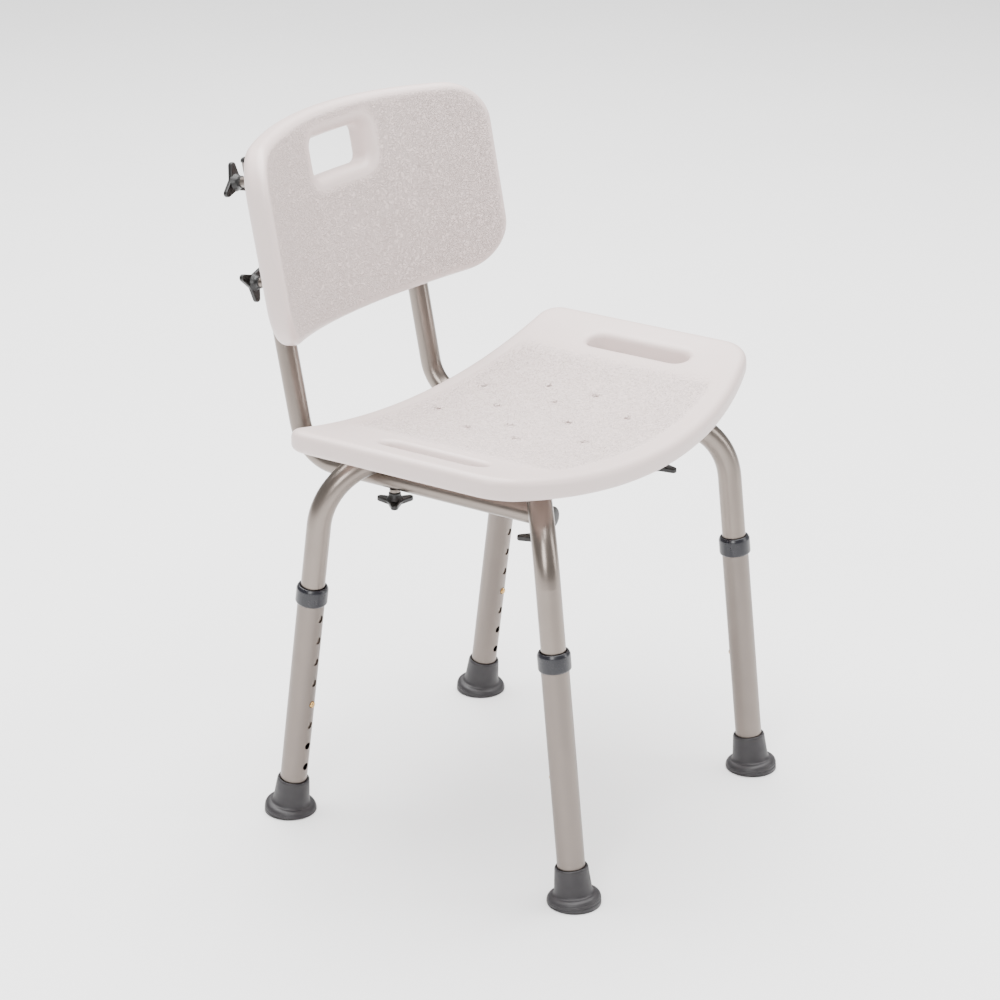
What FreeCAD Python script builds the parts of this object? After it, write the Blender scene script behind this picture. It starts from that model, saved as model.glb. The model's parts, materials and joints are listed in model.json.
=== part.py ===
import FreeCAD, Part
import math
import os
import Sketcher
from FreeCAD import Placement, Rotation, Vector

# A shower chair: a moulded seat and backrest on a frame of round aluminium tube.
# Two inverted-U leg frames cross under the seat, from a rear leg to the opposite front leg.
# Two back tubes run under them from front to back and rise behind the seat to the backrest.
# Four hand knobs clamp the seat, leg frames and back tubes together, and four more hold the backrest.
# Each leg ends in a lower tube that slides on the frame and is held by a spring button.
#
# Frame: millimetres, +Z up, +X across the seat to the user's left, -Y to the front of the chair.
# The origin is on the floor, under the middle of the chair's bounding box.

DIMENSIONS = [
    # seat panel
    ("seat_half_width", 244, "middle of the seat to its side"),
    ("seat_back_y", 88, "straight back edge of the seat"),
    ("seat_corner_y", -169, "front corners of the seat"),
    ("seat_front_y", -217, "middle of the bowed front edge"),
    ("seat_thickness", 23, "thickness of the seat panel"),
    ("seat_mid_z", 423.5, "middle of the panel's thickness, at the lowest point of the dish"),
    ("seat_dish_radius", 980, "radius of the side-to-side dish, at the middle of the thickness"),
    ("seat_rear_corner", 24, "plan radius of the rear corners"),
    ("seat_front_corner", 42, "plan radius of the front corners"),
    ("seat_edge_round", 9.5, "rounding of the seat's edges"),
    ("hand_slot_x", 192, "middle of the seat to the middle of a hand slot"),
    ("hand_slot_y", -60, "middle of a hand slot"),
    ("hand_slot_length", 124, "hand slot, front to back"),
    ("hand_slot_width", 26, "hand slot, across"),
    ("drain_hole_radius", 3, "drain holes"),
    ("drain_pitch_y", 89, "drain holes, front to back"),
    ("drain_mid_y", -50, "middle of the drain hole pattern"),
    ("drain_inner_x", 42, "inner columns of drain holes"),
    ("drain_outer_x", 76, "outer columns of drain holes"),
    ("drain_outer_y", 29, "outer drain holes, from the middle of the pattern"),
    # backrest panel
    ("backrest_half_width", 199, "middle of the backrest to its side"),
    ("backrest_thickness", 26, "thickness of the backrest"),
    ("backrest_bend_radius", 363, "radius of the curve around the user, at the middle of the thickness"),
    ("backrest_mid_y", 194.2, "middle of the thickness, at the middle of the backrest"),
    ("backrest_mid_z", 620, "height that the backrest tilts about"),
    ("backrest_bottom", -109.5, "lower corners, from backrest_mid_z along the panel"),
    ("backrest_top", 88, "upper corners, from backrest_mid_z along the panel"),
    ("backrest_crown", 19, "rise of the top edge in the middle"),
    ("backrest_belly", 4.5, "fall of the bottom edge in the middle"),
    ("backrest_lower_corner", 49, "radius of the lower corners"),
    ("backrest_upper_corner", 52, "radius of the upper corners"),
    ("backrest_edge_round", 10, "rounding of the backrest's edges"),
    ("backrest_tilt", 11, "lean of the backrest and back tubes, degrees"),
    ("hand_hole_half_width", 46, "backrest hand hole, half across"),
    ("hand_hole_bottom", 36, "lower edge of the hand hole, from backrest_mid_z"),
    ("hand_hole_top", 77, "upper edge of the hand hole, from backrest_mid_z"),
    # leg frames
    ("foot_x", 181.5, "middle of the chair to a foot"),
    ("front_foot_y", -221.5, "front feet, at the floor"),
    ("rear_foot_y", 139.5, "rear feet, at the floor"),
    ("front_lean", 6.1, "forward splay of the front legs, degrees"),
    ("rear_lean", 7.6, "backward splay of the rear legs, degrees"),
    ("side_lean", 0.6, "sideways splay of every leg, degrees"),
    ("cross_z", 405, "height of the leg frames' top runs"),
    ("cross_dip", 25.8, "dip of the lower frame where the two cross"),
    ("cross_dip_half", 34, "half length of the bottom of the dip"),
    ("cross_dip_slope", 46, "length of each slope of the dip"),
    ("cross_dip_radius", 60, "bend radius of the dip"),
    ("frame_bend_radius", 74, "bend radius of the leg frames"),
    ("frame_tube_radius", 12.7, "outside of the leg frame tube"),
    ("frame_tube_wall", 1.4, "wall of the leg frame tube"),
    ("frame_tube_end", 96, "lower end of the frame tube, along the leg from the floor"),
    # back tubes
    ("back_tube_x", 118, "middle of the chair to a back tube"),
    ("back_tube_y", 177.5, "back tube's axis at the height back_tube_z_at"),
    ("back_tube_z_at", 500, "height at which back_tube_y is given"),
    ("back_tube_front_y", -149, "front end of a back tube"),
    ("back_tube_top", 72, "upper end of a back tube, above backrest_mid_z along the tube"),
    ("back_tube_radius", 11.1, "outside of the back tube"),
    ("back_tube_bend", 46, "bend radius of the back tube"),
    ("back_tube_wall", 1.3, "wall of the back tube"),
    ("cap_plug", 9, "how far a tube cap reaches into its tube"),
    ("cap_head", 5, "height of a tube cap's domed head"),
    ("cap_chamfer", 2.4, "slope round the rim of a tube cap"),
    # lower legs
    ("leg_tube_radius", 14.3, "outside of the lower leg tube"),
    ("leg_tube_wall", 1.4, "wall of the lower leg tube"),
    ("leg_tube_bottom", 13, "lower end of the lower tube, along the leg from the floor"),
    ("leg_tube_top", 269, "upper end of the lower tube, along the leg"),
    ("button_height", 134.6, "spring button, along the leg from the floor"),
    ("hole_pitch", 25.4, "pitch of the adjusting holes"),
    ("holes_above", 4, "adjusting holes above the button"),
    ("holes_below", 3, "adjusting holes below the button"),
    ("hole_radius", 4, "adjusting holes"),
    ("collar_radius", 16.8, "outside of the collar"),
    ("collar_bottom", 251.5, "lower edge of the collar, along the leg"),
    ("collar_height", 20, "height of the collar"),
    ("collar_lip", 1.6, "thickness of the lip over the tube's end"),
    ("button_radius", 3.6, "spring button"),
    ("button_reach", 17, "leg axis to the button's tip"),
    ("button_travel", 5, "how far the button presses in"),
    # feet
    ("foot_height", 40, "height of a rubber foot"),
    ("foot_top_radius", 17.3, "rubber foot at its top rim"),
    ("foot_waist_radius", 19.6, "rubber foot just above the flange"),
    ("foot_flange_radius", 27.8, "flange of the rubber foot"),
    ("foot_flange_height", 10, "height of the flange"),
    # knobs
    ("knob_hub_radius", 6.4, "hub of a hand knob"),
    ("knob_height", 13.3, "height of a hand knob"),
    ("knob_flare_radius", 9.6, "foot of the knob's hub, where it flares onto the lobes"),
    ("knob_flare_height", 5, "height of the flare above the lobes"),
    ("knob_lobe_reach", 17, "knob axis to the centre of a lobe's tip"),
    ("knob_lobe_radius", 3.9, "tip of a lobe"),
    ("knob_root_radius", 8, "where the lobes meet the hub"),
    ("knob_lobe_thickness", 5.2, "thickness of the lobes"),
    ("knob_washer_radius", 5.5, "washer between a knob and its tube"),
    ("knob_washer_height", 3, "thickness of a washer under the seat"),
    ("back_washer_height", 6.3, "thickness of a washer behind the backrest"),
    ("back_knob_up", 51.6, "upper backrest knobs, from backrest_mid_z along the panel"),
    ("back_knob_down", -54.3, "lower backrest knobs, from backrest_mid_z along the panel"),
    ("rivet_head_radius", 5.5, "heads of the rivet where the leg frames cross"),
    ("rivet_head_height", 2, "thickness of a rivet head"),
    ("rivet_room", 1, "space round the rivet head in the seat"),
    ("stud_radius", 3, "threaded stud of a knob"),
    ("stud_bite", 11, "how far a stud enters the insert in the panel"),
    ("insert_radius", 6, "threaded insert in a panel"),
    ("insert_length", 12, "length of a threaded insert"),
    ("gap", 0.2, "running clearance between pieces"),
]


class Size:
    """A size from the sheet, with the expression that keeps a property bound to it."""

    def __init__(self, value, text):
        self.value = float(value)
        self.text = text

    def __float__(self):
        return self.value

    def __add__(self, other):
        return Size(self.value + float(other), f"({self.text} + {wording(other)})")

    def __sub__(self, other):
        return Size(self.value - float(other), f"({self.text} - {wording(other)})")

    def __mul__(self, other):
        return Size(self.value * float(other), f"({self.text} * {wording(other)})")

    def __truediv__(self, other):
        return Size(self.value / float(other), f"({self.text} / {wording(other)})")

    def __neg__(self):
        return Size(-self.value, f"(-{self.text})")

    def __abs__(self):
        return Size(abs(self.value), f"abs({self.text})")


def wording(number):
    return number.text if isinstance(number, Size) else f"{float(number):.6f}"


def make_sheet(doc):
    sheet = doc.addObject("Spreadsheet::Sheet", "Dimensions")
    sizes = {}
    for row, (alias, value, meaning) in enumerate(DIMENSIONS, start=1):
        sheet.set(f"A{row}", alias)
        sheet.set(f"B{row}", str(value))
        sheet.set(f"C{row}", meaning)
        sheet.setAlias(f"B{row}", alias)
        sizes[alias] = Size(value, f"Dimensions.{alias}")
    doc.recompute()
    return sizes


doc = FreeCAD.newDocument("shower_chair")
D = make_sheet(doc)


# ---- binding helpers -------------------------------------------------------------------------------


def bind(thing, name, size):
    """Set a property, or a sketch constraint, from a size, and bind it when the size is the sheet's."""
    if isinstance(size, Size):
        thing.setExpression(name, size.text)
    else:
        setattr(thing, name, size)


def make_body(name):
    body = doc.addObject("PartDesign::Body", name)
    body.Label = name
    return body


def origin_plane(body, role):
    return next(feature for feature in body.Origin.OriginFeatures if feature.Role == role)


def make_sketch(body, role, name):
    """A sketch on one of the body's own origin planes."""
    sketch = body.newObject("Sketcher::SketchObject", name)
    sketch.AttachmentSupport = [(origin_plane(body, role), "")]
    sketch.MapMode = "FlatFace"
    return sketch


def fix_point(sketch, edge, end, x, y):
    """Hold one end of an edge at a place given from the sketch's origin."""
    for kind, axis, size in (("DistanceX", -2, x), ("DistanceY", -1, y)):
        if float(size) == 0:
            sketch.addConstraint(Sketcher.Constraint("PointOnObject", edge, end, axis))
            continue
        at = sketch.addConstraint(Sketcher.Constraint(kind, edge, end, float(size)))
        if isinstance(size, Size):
            sketch.setExpression(f"Constraints[{at}]", size.text)


def draw_polygon(sketch, points):
    """A closed outline of straight edges through the points."""
    edges = []
    for (x0, y0), (x1, y1) in zip(points, points[1:] + points[:1]):
        line = Part.LineSegment(Vector(float(x0), float(y0), 0), Vector(float(x1), float(y1), 0))
        edges.append(sketch.addGeometry(line, False))
    for edge, following in zip(edges, edges[1:] + edges[:1]):
        sketch.addConstraint(Sketcher.Constraint("Coincident", edge, 2, following, 1))
    for edge, (x, y) in zip(edges, points):
        fix_point(sketch, edge, 1, x, y)
    return edges


def draw_circle(sketch, radius, x=0, y=0):
    centre = Vector(float(x), float(y), 0)
    edge = sketch.addGeometry(Part.Circle(centre, Vector(0, 0, 1), float(radius)), False)
    fix_point(sketch, edge, 3, x, y)
    at = sketch.addConstraint(Sketcher.Constraint("Radius", edge, float(radius)))
    if isinstance(radius, Size):
        sketch.setExpression(f"Constraints[{at}]", radius.text)


def draw_bowed_outline(sketch, corners, bows):
    """A closed outline through four corners, drawn anticlockwise.

    bows gives, for some edges, how high the middle of that edge's outward arc is.
    """
    for index, (start, stop) in enumerate(zip(corners, corners[1:] + corners[:1])):
        (x0, y0), (x1, y1) = start, stop
        first = Vector(float(x0), float(y0), 0)
        last = Vector(float(x1), float(y1), 0)
        if index not in bows:
            edge = sketch.addGeometry(Part.LineSegment(first, last), False)
        else:
            half = (x1 - x0) * 0.5
            rise = y0 - bows[index]
            radius = (half * half + rise * rise) / abs(rise * 2)
            side = 1 if float(rise) < 0 else -1
            centre = Vector(0, float(bows[index]) - side * float(radius), 0)
            begin = math.atan2(first.y - centre.y, first.x)
            end = math.atan2(last.y - centre.y, last.x)
            if end < begin:
                end += 2 * math.pi
            circle = Part.Circle(centre, Vector(0, 0, 1), float(radius))
            edge = sketch.addGeometry(Part.ArcOfCircle(circle, begin, end), False)
        fix_point(sketch, edge, 1, x0, y0)
        fix_point(sketch, edge, 2, x1, y1)
        if index in bows:
            at = sketch.addConstraint(Sketcher.Constraint("Radius", edge, float(radius)))
            sketch.setExpression(f"Constraints[{at}]", radius.text)


def pad(body, sketch, length, middle=False, name="Pad"):
    feature = body.newObject("PartDesign::Pad", name)
    feature.Profile = sketch
    feature.Midplane = middle
    bind(feature, "Length", length)
    doc.recompute()
    return feature


def pocket_through(body, sketch, name="Pocket"):
    """Cut the sketch's region away on both sides of its plane, through everything."""
    before = body.Shape.Volume
    feature = body.newObject("PartDesign::Pocket", name)
    feature.Profile = sketch
    feature.Type = "ThroughAll"
    feature.Midplane = True
    doc.recompute()
    assert body.Shape.Volume < before - 1, f"{name} cut nothing"
    return feature


def revolve(body, sketch, kind="PartDesign::Revolution", name="Revolution"):
    """Turn the sketch a whole turn about its own vertical axis."""
    feature = body.newObject(kind, name)
    feature.Profile = sketch
    feature.ReferenceAxis = (sketch, ["V_Axis"])
    feature.Angle = 360
    doc.recompute()
    return feature


def round_edges(body, radius, chosen, name="Fillet"):
    """Fillet the edges of the body's tip that chosen(edge) accepts."""
    tip = body.Tip
    names = [f"Edge{n}" for n, edge in enumerate(tip.Shape.Edges, start=1) if chosen(edge)]
    assert names, f"{body.Label} has no edge to round"
    feature = body.newObject("PartDesign::Fillet", name)
    feature.Base = (tip, names)
    bind(feature, "Radius", radius)
    doc.recompute()
    return feature


def cut(name, base, tools):
    """The base with each tool taken away in turn; the result carries the name."""
    for number, tool in enumerate(tools, start=1):
        step = doc.addObject("Part::Cut", f"{name}_cut_{number}")
        step.Base = base
        step.Tool = tool
        base = step
    base.Label = name
    doc.recompute()
    return base


def cylinder(name, radius, height, placement):
    part = doc.addObject("Part::Cylinder", name)
    bind(part, "Radius", radius)
    bind(part, "Height", height)
    part.Placement = placement
    return part


def along(point, direction):
    """A placement at a point, with local Z along a direction."""
    return Placement(point, Rotation(Vector(0, 0, 1), direction))


# ---- where the tubes run ---------------------------------------------------------------------------


def leg_frame_of(side, front):
    """The foot point, the direction up the leg, and the placement of everything on one leg.

    Local Z runs up the leg and local -Y faces the chair's middle, where the buttons are.
    """
    lean = math.radians(float(D["front_lean"] if front else D["rear_lean"]))
    spread = math.radians(float(D["side_lean"]))
    foot_y = float(D["front_foot_y"] if front else D["rear_foot_y"])
    outward = -1 if front else 1
    foot = Vector(side * float(D["foot_x"]), foot_y, 0)
    up = Vector(-side * math.tan(spread), -outward * math.tan(lean), 1).normalize()
    across = Vector(0, outward, 0).cross(up).normalize()
    back = up.cross(across).normalize()
    placement = Placement(foot, Rotation(across, back, up, "ZXY"))
    return foot, up, placement


LEGS = {
    "rear_left": leg_frame_of(-1, False),
    "rear_right": leg_frame_of(1, False),
    "front_left": leg_frame_of(-1, True),
    "front_right": leg_frame_of(1, True),
}


def point_up_leg(leg, distance):
    foot, up, _ = LEGS[leg]
    return foot + up * distance


def corner_of(leg):
    """Where a leg's axis reaches the height of the leg frames' top runs."""
    _, up, _ = LEGS[leg]
    return point_up_leg(leg, float(D["cross_z"]) / up.z)


def crossing(leg, opposite, x):
    """The point of a top run above the back tube at x."""
    start, end = corner_of(leg), corner_of(opposite)
    return start + (end - start) * ((x - start.x) / (end.x - start.x))


def rounded_path(points, radii):
    """A wire of straight runs through the points, joined by tangent arcs."""
    edges = []
    last = points[0]
    for before, corner, after, radius in zip(points, points[1:], points[2:], radii):
        arriving = (corner - before).normalize()
        leaving = (after - corner).normalize()
        turn = arriving.getAngle(leaving)
        inset = radius * math.tan(turn / 2)
        start = corner - arriving * inset
        end = corner + leaving * inset
        inward = (leaving - arriving).normalize()
        centre = corner + inward * (radius / math.cos(turn / 2))
        middle = centre + (corner - centre).normalize() * radius
        edges.append(Part.LineSegment(last, start).toShape())
        edges.append(Part.Arc(start, middle, end).toShape())
        last = end
    edges.append(Part.LineSegment(last, points[-1]).toShape())
    return Part.Wire(edges)


def sweep_rod(name, path, radius):
    """A solid rod along a path object, bound to a radius."""
    section = doc.addObject("Part::Circle", f"{name}_section")
    bind(section, "Radius", radius)
    first = path.Shape.Edges[0]
    start = first.valueAt(first.FirstParameter)
    section.Placement = along(start, first.tangentAt(first.FirstParameter))
    rod = doc.addObject("Part::Sweep", name)
    rod.Sections = [section]
    rod.Spine = (path, [])
    rod.Solid = True
    rod.Frenet = False
    doc.recompute()
    return rod


def bent_tube(name, points, radii, outside, wall, drills):
    """A tube through the points, with the drill cylinders taken out of it."""
    path = doc.addObject("Part::Feature", f"{name}_path")
    path.Shape = rounded_path(points, radii)
    outer = sweep_rod(f"{name}_outer", path, outside)
    inner = sweep_rod(f"{name}_inner", path, outside - wall)
    return cut(name, outer, [inner] + drills)


# ---- seat and backrest -----------------------------------------------------------------------------


def diagonal_channel(leg, opposite):
    """The groove that a leg frame's top run lies in, under the seat."""
    start, end = corner_of(leg), corner_of(opposite)
    run = end - start
    radius = D["frame_tube_radius"] + D["gap"]
    return cylinder(f"channel_{leg}", radius, run.Length, along(start, run))


def knob_points():
    """The four places, on the leg frames' top runs, where a seat knob's stud passes."""
    x = float(D["back_tube_x"])
    return {
        "rear_left": crossing("rear_left", "front_right", -x),
        "front_right": crossing("rear_left", "front_right", x),
        "front_left": crossing("front_left", "rear_right", -x),
        "rear_right": crossing("front_left", "rear_right", x),
    }


KNOB_POINTS = knob_points()
INSERT_BASE = float(D["cross_z"] + D["frame_tube_radius"] + D["gap"])


def seat_drain_centres():
    """Drain holes: three rows of two, one in each middle between rows, and two on each side."""
    mid = D["drain_mid_y"]
    pitch = D["drain_pitch_y"]
    centres = []
    for side in (-1, 1):
        for row in (-1, 0, 1):
            centres.append((D["drain_inner_x"] * side, mid + pitch * row))
        for row in (-1, 1):
            centres.append((D["drain_outer_x"] * side, mid + D["drain_outer_y"] * row))
    for row in (-0.5, 0.5):
        centres.append((0, mid + pitch * row))
    return centres


def draw_slot(sketch, x, y, width, length):
    """A round-ended slot that runs front to back."""
    radius = float(width) / 2
    reach = float(length) / 2 - radius
    left, right = float(x) - radius, float(x) + radius
    low, high = float(y) - reach, float(y) + reach
    up = Vector(0, 0, 1)
    top = Part.ArcOfCircle(Part.Circle(Vector(float(x), high, 0), up, radius), 0, math.pi)
    bottom = Part.ArcOfCircle(Part.Circle(Vector(float(x), low, 0), up, radius), math.pi, 2 * math.pi)
    first = Part.LineSegment(Vector(left, high, 0), Vector(left, low, 0))
    second = Part.LineSegment(Vector(right, low, 0), Vector(right, high, 0))
    edges = [sketch.addGeometry(shape, False) for shape in (top, first, bottom, second)]
    arc_top, line_left, arc_bottom, line_right = edges
    joins = [
        (arc_top, 2, line_left, 1),
        (line_left, 2, arc_bottom, 1),
        (arc_bottom, 2, line_right, 1),
        (line_right, 2, arc_top, 1),
    ]
    for join in joins:
        sketch.addConstraint(Sketcher.Constraint("Tangent", *join))
    fix_point(sketch, arc_top, 3, x, y + length * 0.5 - width * 0.5)
    fix_point(sketch, arc_bottom, 3, x, y - length * 0.5 + width * 0.5)
    at = sketch.addConstraint(Sketcher.Constraint("Radius", arc_top, radius))
    sketch.setExpression(f"Constraints[{at}]", (width * 0.5).text)


def make_seat():
    body = make_body("seat_block")
    outline = make_sketch(body, "XY_Plane", "seat_outline")
    half, back = D["seat_half_width"], D["seat_back_y"]
    corners = [(half, back), (-half, back), (-half, D["seat_corner_y"]), (half, D["seat_corner_y"])]
    draw_bowed_outline(outline, corners, {2: D["seat_front_y"]})
    pad(body, outline, D["seat_mid_z"] * 1.3)

    def rear_upright(edge):
        return is_upright(edge) and edge.CenterOfMass.y > 0

    def front_upright(edge):
        return is_upright(edge) and edge.CenterOfMass.y < 0

    round_edges(body, D["seat_rear_corner"], rear_upright, "rear_corners")
    round_edges(body, D["seat_front_corner"], front_upright, "front_corners")

    centre_z = D["seat_mid_z"] + D["seat_dish_radius"]
    scoop = make_sketch(body, "XZ_Plane", "seat_top_curve")
    draw_circle(scoop, D["seat_dish_radius"] - D["seat_thickness"] * 0.5, 0, centre_z)
    pocket_through(body, scoop, "seat_scoop")
    under = make_sketch(body, "XZ_Plane", "seat_under_curve")
    far = D["seat_dish_radius"] * 2
    draw_polygon(under, [(-far, -far), (far, -far), (far, far * 2), (-far, far * 2)])
    draw_circle(under, D["seat_dish_radius"] + D["seat_thickness"] * 0.5, 0, centre_z)
    pocket_through(body, under, "seat_underside")

    round_edges(body, D["seat_edge_round"], lambda edge: not is_level_drop(edge), "soft_edges")

    slots = make_sketch(body, "XY_Plane", "hand_slots")
    for side in (-1, 1):
        x = D["hand_slot_x"] * side
        draw_slot(slots, x, D["hand_slot_y"], D["hand_slot_width"], D["hand_slot_length"])
    pocket_through(body, slots, "hand_slot_pocket")
    drains = make_sketch(body, "XY_Plane", "drain_holes")
    for x, y in seat_drain_centres():
        draw_circle(drains, D["drain_hole_radius"], x, y)
    pocket_through(body, drains, "drain_hole_pocket")

    tools = [diagonal_channel("rear_left", "front_right"), diagonal_channel("front_left", "rear_right")]
    for place, point in KNOB_POINTS.items():
        reach = D["frame_tube_radius"] + D["insert_length"] + D["gap"] * 2
        upright = along(point, Vector(0, 0, 1))
        tools.append(cylinder(f"insert_seat_{place}", D["insert_radius"], reach, upright))
    middle = crossing("rear_left", "front_right", 0)
    reach = D["frame_tube_radius"] + D["rivet_head_height"] + D["gap"] * 3
    upright = along(middle, Vector(0, 0, 1))
    tools.append(cylinder("rivet_recess", D["rivet_head_radius"] + D["rivet_room"], reach, upright))
    return cut("seat_panel", body, tools)


def is_upright(edge):
    if not isinstance(edge.Curve, Part.Line):
        return False
    return abs(edge.tangentAt(edge.FirstParameter).z) > 0.99


def is_level_drop(edge):
    """The short edges down the side of a panel, between its corner faces."""
    box = edge.BoundBox
    return box.ZLength > max(box.XLength, box.YLength)


def backrest_place():
    middle = Vector(0, float(D["backrest_mid_y"]), float(D["backrest_mid_z"]))
    return Placement(middle, Rotation(Vector(1, 0, 0), -float(D["backrest_tilt"])))


def back_knob_heights():
    """Where the backrest's studs are, along the panel from its middle."""
    return {"upper": float(D["back_knob_up"]), "lower": float(D["back_knob_down"])}


def backrest_rear_y(x):
    """The backrest's rear face behind its local middle, at a distance x from the centre line."""
    radius = float(D["backrest_bend_radius"] + D["backrest_thickness"] * 0.5)
    return math.sqrt(radius**2 - x**2) - float(D["backrest_bend_radius"])


def make_backrest():
    body = make_body("backrest_block")
    outline = make_sketch(body, "XZ_Plane", "backrest_outline")
    half = D["backrest_half_width"]
    low, high = D["backrest_bottom"], D["backrest_top"]
    corners = [(half, high), (-half, high), (-half, low), (half, low)]
    bows = {0: high + D["backrest_crown"], 2: low - D["backrest_belly"]}
    draw_bowed_outline(outline, corners, bows)
    pad(body, outline, D["backrest_bend_radius"], middle=True)

    def lies_along_y(edge):
        return isinstance(edge.Curve, Part.Line) and abs(edge.tangentAt(0).y) > 0.99

    def is_upper(edge):
        return lies_along_y(edge) and edge.CenterOfMass.z > 0

    def is_lower(edge):
        return lies_along_y(edge) and edge.CenterOfMass.z < 0

    round_edges(body, D["backrest_upper_corner"], is_upper, "top_corners")
    round_edges(body, D["backrest_lower_corner"], is_lower, "low_corners")

    centre_y = -D["backrest_bend_radius"]
    front = make_sketch(body, "XY_Plane", "backrest_front_curve")
    draw_circle(front, D["backrest_bend_radius"] - D["backrest_thickness"] * 0.5, 0, centre_y)
    pocket_through(body, front, "backrest_hollow")
    rear = make_sketch(body, "XY_Plane", "backrest_rear_curve")
    far = D["backrest_bend_radius"] * 2
    draw_polygon(rear, [(-far, -far * 2), (far, -far * 2), (far, far), (-far, far)])
    draw_circle(rear, D["backrest_bend_radius"] + D["backrest_thickness"] * 0.5, 0, centre_y)
    pocket_through(body, rear, "backrest_back")
    round_edges(body, D["backrest_edge_round"], lambda edge: not crosses_thickness(edge), "soft_edges")

    hole = make_sketch(body, "XZ_Plane", "hand_hole")
    wide = D["hand_hole_half_width"]
    bottom, top = D["hand_hole_bottom"], D["hand_hole_top"]
    draw_polygon(hole, [(-wide, bottom), (wide, bottom), (wide, top), (-wide, top)])
    pocket_through(body, hole, "hand_hole_pocket")
    body.Placement = backrest_place()
    tools = [hole_for_insert(side, level) for side in (-1, 1) for level in back_knob_heights()]
    return cut("backrest_panel", body, tools)


def crosses_thickness(edge):
    """The short edges through a panel's thickness, between its outline's faces."""
    return isinstance(edge.Curve, Part.Line) and edge.Length < 40


def rear_normal():
    """The way a backrest stud points out of the back: rearward and a little down."""
    tilt = math.radians(float(D["backrest_tilt"]))
    return Vector(0, math.cos(tilt), -math.sin(tilt))


def back_knob_point(side, level):
    """Where a backrest stud leaves the panel's rear face."""
    x = side * float(D["back_tube_x"])
    local = Vector(x, backrest_rear_y(x), back_knob_heights()[level])
    return backrest_place().multVec(local)


def hole_for_insert(side, level):
    depth = D["insert_length"] + D["gap"]
    start = back_knob_point(side, level) - rear_normal() * float(depth)
    reach = depth * 2
    name = f"backrest_insert_seat_{side}_{level}"
    return cylinder(name, D["insert_radius"], reach, along(start, rear_normal()))


# ---- leg frames and back tubes ---------------------------------------------------------------------


def stud_drill(name, point, direction, reach):
    """A clearance hole for a knob's stud, through a tube."""
    radius = D["stud_radius"] + D["gap"] * 2
    return cylinder(name, radius, reach * 2, along(point - direction * reach, direction))


def button_drill(leg, depth):
    """A hole for the spring button, in the inward face of one leg."""
    _, _, placement = LEGS[leg]
    start = placement.multVec(Vector(0, 0, float(D["button_height"])))
    outward = placement.Rotation.multVec(Vector(0, -1, 0))
    radius = D["button_radius"] + D["gap"]
    return cylinder(f"button_drill_{leg}", radius, depth, along(start, outward))


def make_leg_frame(name, leg, opposite, dips):
    """An inverted U from one leg, across under the seat, to the opposite leg."""
    start, end = corner_of(leg), corner_of(opposite)
    across = (end - start).normalize()
    points = [point_up_leg(leg, float(D["frame_tube_end"])), start]
    bend = float(D["frame_bend_radius"])
    radii = [bend]
    if dips:
        middle = crossing(leg, opposite, 0)
        down = Vector(0, 0, -float(D["cross_dip"]))
        near = across * float(D["cross_dip_half"])
        far = across * float(D["cross_dip_half"] + D["cross_dip_slope"])
        points += [middle - far, middle - near + down, middle + near + down, middle + far]
        radii += [float(D["cross_dip_radius"])] * 4
    points += [end, point_up_leg(opposite, float(D["frame_tube_end"]))]
    radii.append(bend)
    drills = [button_drill(leg, D["button_reach"]), button_drill(opposite, D["button_reach"])]
    for place in (leg, opposite):
        drills.append(stud_drill(f"frame_drill_{place}", KNOB_POINTS[place], Vector(0, 0, 1), 20))
    middle = crossing(leg, opposite, 0)
    drills.append(stud_drill(f"rivet_drill_{leg}", middle, Vector(0, 0, 1), 45))
    return bent_tube(name, points, radii, D["frame_tube_radius"], D["frame_tube_wall"], drills)


BACK_TUBE_Z = float(D["cross_z"] - D["frame_tube_radius"] - D["back_tube_radius"] - D["gap"] * 0.5)


def back_tube_axis(side, z):
    """A point on the leaning part of a back tube, at a height."""
    lean = math.tan(math.radians(float(D["backrest_tilt"])))
    y = float(D["back_tube_y"]) + lean * (z - float(D["back_tube_z_at"]))
    return Vector(side * float(D["back_tube_x"]), y, z)


def back_tube_top(side):
    rise = float(D["back_tube_top"]) * math.cos(math.radians(float(D["backrest_tilt"])))
    return back_tube_axis(side, float(D["backrest_mid_z"]) + rise)


def make_back_tube(name, side, places):
    x = side * float(D["back_tube_x"])
    front = Vector(x, float(D["back_tube_front_y"]), BACK_TUBE_Z)
    corner = back_tube_axis(side, BACK_TUBE_Z)
    points = [front, corner, back_tube_top(side)]
    drills = []
    for place in places:
        point = Vector(x, KNOB_POINTS[place].y, BACK_TUBE_Z)
        drills.append(stud_drill(f"tube_drill_{place}", point, Vector(0, 0, 1), 20))
    for level in back_knob_heights():
        point = back_knob_point(side, level)
        drills.append(stud_drill(f"tube_drill_{name}_{level}", point, rear_normal(), 40))
    radii = [float(D["back_tube_bend"])]
    return bent_tube(name, points, radii, D["back_tube_radius"], D["back_tube_wall"], drills)


def make_tube_cap(name, placement):
    """A plug with a domed head. Local Z points out of the tube's end."""
    body = make_body(name)
    sketch = make_sketch(body, "XZ_Plane", f"{name}_profile")
    inside = D["back_tube_radius"] - D["back_tube_wall"] - D["gap"] * 0.5
    outside = D["back_tube_radius"] + 0.4
    plug, head, chamfer = D["cap_plug"], D["cap_head"], D["cap_chamfer"]
    seated = D["gap"] * 0.25
    points = [(0, -plug), (inside - 0.8, -plug), (inside, -plug + 2), (inside, seated), (outside, seated)]
    points += [(outside, head - chamfer), (outside - chamfer, head - 0.6), (0, head)]
    draw_polygon(sketch, points)
    revolve(body, sketch)
    body.Placement = placement
    return body


# ---- lower legs ------------------------------------------------------------------------------------


def tube_profile(sketch, outside, wall, bottom, top):
    inside = outside - wall
    draw_polygon(sketch, [(inside, bottom), (outside, bottom), (outside, top), (inside, top)])


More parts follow.
